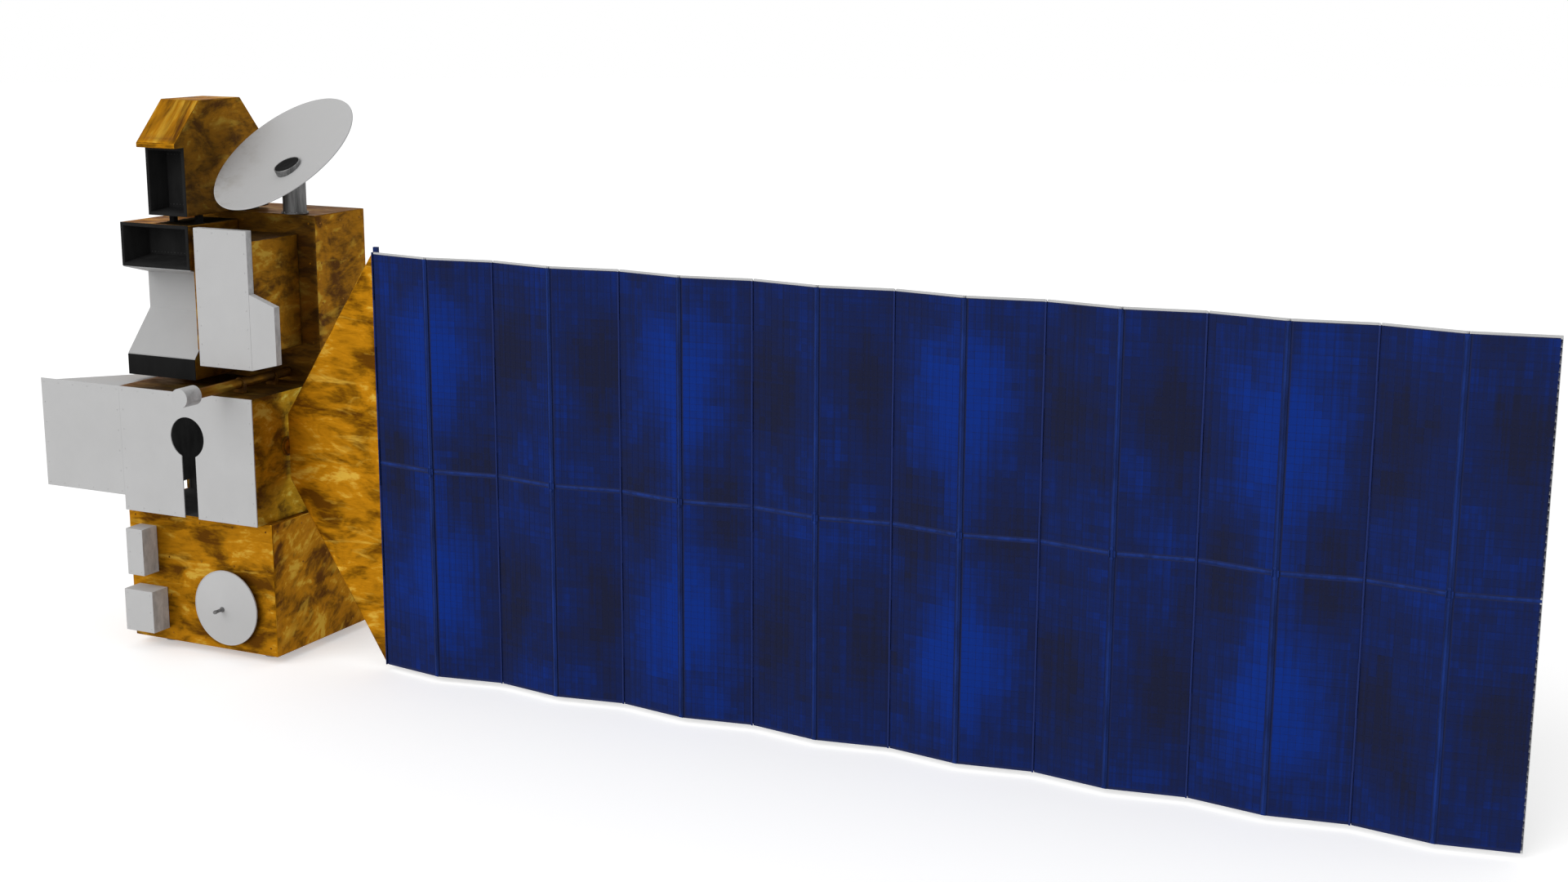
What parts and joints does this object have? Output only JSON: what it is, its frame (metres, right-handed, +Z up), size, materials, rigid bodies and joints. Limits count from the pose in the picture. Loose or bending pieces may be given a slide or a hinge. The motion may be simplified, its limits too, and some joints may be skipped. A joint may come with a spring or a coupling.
{
  "type": "earth observation satellite",
  "caption": "Large box-bodied satellite wrapped in gold foil, with white radiators, dark sensor openings, a steerable dish and one accordion-folding solar wing on a rotating yoke.",
  "frame": {"origin": "middle of the four launcher feet's bolt pattern, on the plane the feet stand on", "axes": "+Z up along the tall body, +X out along the solar wing, -Y is the face with the slotted cover, the sensors and the round antenna"},
  "size_m": [17.8085, 2.966, 6.7667],
  "materials": {
    "gold_foil": "satin",
    "white_paint": "matte",
    "black_coating": "matte",
    "solar_cells": "satin",
    "dark_blue_frame": "satin",
    "grey_metal": "satin",
    "steel_fitting": "satin"
  },
  "bodies": {
    "bus": {"disc_antenna": "white_paint", "disc_feed_rod": "grey_metal", "disc_post": "steel_fitting", "dish_arm": "grey_metal", "dish_mast": "grey_metal", "drive_flange": "gold_foil", "electronics_box_lower": "white_paint", "electronics_box_upper": "white_paint", "foot_front_left": "steel_fitting", "foot_front_right": "steel_fitting", "foot_rear_left": "steel_fitting", "foot_rear_right": "steel_fitting", "hood_post_front_left": "black_coating", "hood_post_front_right": "black_coating", "hood_post_rear_left": "black_coating", "hood_post_rear_right": "black_coating", "instrument_box": "gold_foil", "keyhole_cover": "white_paint", "radiator_panel": "white_paint", "radiator_tab": "white_paint", "scanner_brow_mask": "black_coating", "scanner_chin_mask": "black_coating", "scanner_housing": "gold_foil", "scanner_throat_liner": "white_paint", "sensor_hood": "gold_foil", "sensor_hood_mask": "black_coating", "sensor_tube": "gold_foil", "sensor_tube_cap": "white_paint", "service_module": "gold_foil", "shade_panel": "white_paint", "shade_web_lower": "white_paint", "shade_web_upper": "white_paint", "side_equipment_box": "gold_foil", "spine_module": "gold_foil", "tube_saddle_front": "gold_foil", "tube_saddle_rear": "gold_foil"},
    "array_yoke": {"drive_shaft": "gold_foil", "yoke_plate": "gold_foil", "root_beam": "dark_blue_frame"},
    "dish_head": {"dish_turret": "grey_metal"},
    "dish": {"dish_reflector": "white_paint", "dish_hub": "grey_metal", "dish_bracket": "grey_metal"},
    "wing_panel_01": {"panel_01": "solar_cells"},
    "wing_panel_02": {"panel_02": "solar_cells"},
    "wing_panel_03": {"panel_03": "solar_cells"},
    "wing_panel_04": {"panel_04": "solar_cells"},
    "wing_panel_05": {"panel_05": "solar_cells"},
    "wing_panel_06": {"panel_06": "solar_cells"},
    "wing_panel_07": {"panel_07": "solar_cells"},
    "wing_panel_08": {"panel_08": "solar_cells"},
    "wing_panel_09": {"panel_09": "solar_cells"},
    "wing_panel_10": {"panel_10": "solar_cells"},
    "wing_panel_11": {"panel_11": "solar_cells"},
    "wing_panel_12": {"panel_12": "solar_cells"},
    "wing_panel_13": {"panel_13": "solar_cells"},
    "wing_panel_14": {"panel_14": "solar_cells"},
    "wing_panel_15": {"panel_15": "solar_cells"},
    "wing_panel_16": {"panel_16": "solar_cells"}
  },
  "joints": [
    {"name": "array_drive", "type": "hinge", "parent": "bus", "child": "array_yoke", "pos_m": [1.05, -0.555, 2.64], "axis": [1, 0, 0], "continuous": true},
    {"name": "wing_fold", "type": "hinge", "parent": "array_yoke", "child": "wing_panel_01", "pos_m": [2.394, -0.585, 2.574], "axis": [0, 0, 1], "range_deg": [-79, 9]},
    {"name": "fold_line_02", "type": "hinge", "parent": "wing_panel_01", "child": "wing_panel_02", "pos_m": [3.21718, -0.67751, 2.574], "axis": [0, 0, 1], "range_deg": [-18, 158]},
    {"name": "fold_line_03", "type": "hinge", "parent": "wing_panel_02", "child": "wing_panel_03", "pos_m": [4.04037, -0.585, 2.574], "axis": [0, 0, 1], "range_deg": [-158, 18]},
    {"name": "fold_line_04", "type": "hinge", "parent": "wing_panel_03", "child": "wing_panel_04", "pos_m": [4.86355, -0.67751, 2.574], "axis": [0, 0, 1], "range_deg": [-18, 158]},
    {"name": "fold_line_05", "type": "hinge", "parent": "wing_panel_04", "child": "wing_panel_05", "pos_m": [5.68674, -0.585, 2.574], "axis": [0, 0, 1], "range_deg": [-158, 18]},
    {"name": "fold_line_06", "type": "hinge", "parent": "wing_panel_05", "child": "wing_panel_06", "pos_m": [6.50992, -0.67751, 2.574], "axis": [0, 0, 1], "range_deg": [-18, 158]},
    {"name": "fold_line_07", "type": "hinge", "parent": "wing_panel_06", "child": "wing_panel_07", "pos_m": [7.3331, -0.585, 2.574], "axis": [0, 0, 1], "range_deg": [-158, 18]},
    {"name": "fold_line_08", "type": "hinge", "parent": "wing_panel_07", "child": "wing_panel_08", "pos_m": [8.15629, -0.67751, 2.574], "axis": [0, 0, 1], "range_deg": [-18, 158]},
    {"name": "fold_line_09", "type": "hinge", "parent": "wing_panel_08", "child": "wing_panel_09", "pos_m": [8.97947, -0.585, 2.574], "axis": [0, 0, 1], "range_deg": [-158, 18]},
    {"name": "fold_line_10", "type": "hinge", "parent": "wing_panel_09", "child": "wing_panel_10", "pos_m": [9.80266, -0.67751, 2.574], "axis": [0, 0, 1], "range_deg": [-18, 158]},
    {"name": "fold_line_11", "type": "hinge", "parent": "wing_panel_10", "child": "wing_panel_11", "pos_m": [10.62584, -0.585, 2.574], "axis": [0, 0, 1], "range_deg": [-158, 18]},
    {"name": "fold_line_12", "type": "hinge", "parent": "wing_panel_11", "child": "wing_panel_12", "pos_m": [11.44903, -0.67751, 2.574], "axis": [0, 0, 1], "range_deg": [-18, 158]},
    {"name": "fold_line_13", "type": "hinge", "parent": "wing_panel_12", "child": "wing_panel_13", "pos_m": [12.27221, -0.585, 2.574], "axis": [0, 0, 1], "range_deg": [-158, 18]},
    {"name": "fold_line_14", "type": "hinge", "parent": "wing_panel_13", "child": "wing_panel_14", "pos_m": [13.09539, -0.67751, 2.574], "axis": [0, 0, 1], "range_deg": [-18, 158]},
    {"name": "fold_line_15", "type": "hinge", "parent": "wing_panel_14", "child": "wing_panel_15", "pos_m": [13.91858, -0.585, 2.574], "axis": [0, 0, 1], "range_deg": [-158, 18]},
    {"name": "fold_line_16", "type": "hinge", "parent": "wing_panel_15", "child": "wing_panel_16", "pos_m": [14.74176, -0.67751, 2.574], "axis": [0, 0, 1], "range_deg": [-18, 158]},
    {"name": "dish_azimuth", "type": "hinge", "parent": "bus", "child": "dish_head", "pos_m": [0.982, -0.112, 5.86], "axis": [0, 0, 1], "range_deg": [-25, 110]},
    {"name": "dish_elevation", "type": "hinge", "parent": "dish_head", "child": "dish", "pos_m": [0.982, -0.112, 5.927], "axis": [0.956, -0.2934, 0], "range_deg": [-39, 9]}
  ],
  "couplings": [
    {"joint": "fold_line_02", "follows": "wing_fold", "ratio": -2},
    {"joint": "fold_line_03", "follows": "wing_fold", "ratio": 2},
    {"joint": "fold_line_04", "follows": "wing_fold", "ratio": -2},
    {"joint": "fold_line_05", "follows": "wing_fold", "ratio": 2},
    {"joint": "fold_line_06", "follows": "wing_fold", "ratio": -2},
    {"joint": "fold_line_07", "follows": "wing_fold", "ratio": 2},
    {"joint": "fold_line_08", "follows": "wing_fold", "ratio": -2},
    {"joint": "fold_line_09", "follows": "wing_fold", "ratio": 2},
    {"joint": "fold_line_10", "follows": "wing_fold", "ratio": -2},
    {"joint": "fold_line_11", "follows": "wing_fold", "ratio": 2},
    {"joint": "fold_line_12", "follows": "wing_fold", "ratio": -2},
    {"joint": "fold_line_13", "follows": "wing_fold", "ratio": 2},
    {"joint": "fold_line_14", "follows": "wing_fold", "ratio": -2},
    {"joint": "fold_line_15", "follows": "wing_fold", "ratio": 2},
    {"joint": "fold_line_16", "follows": "wing_fold", "ratio": -2}
  ]
}
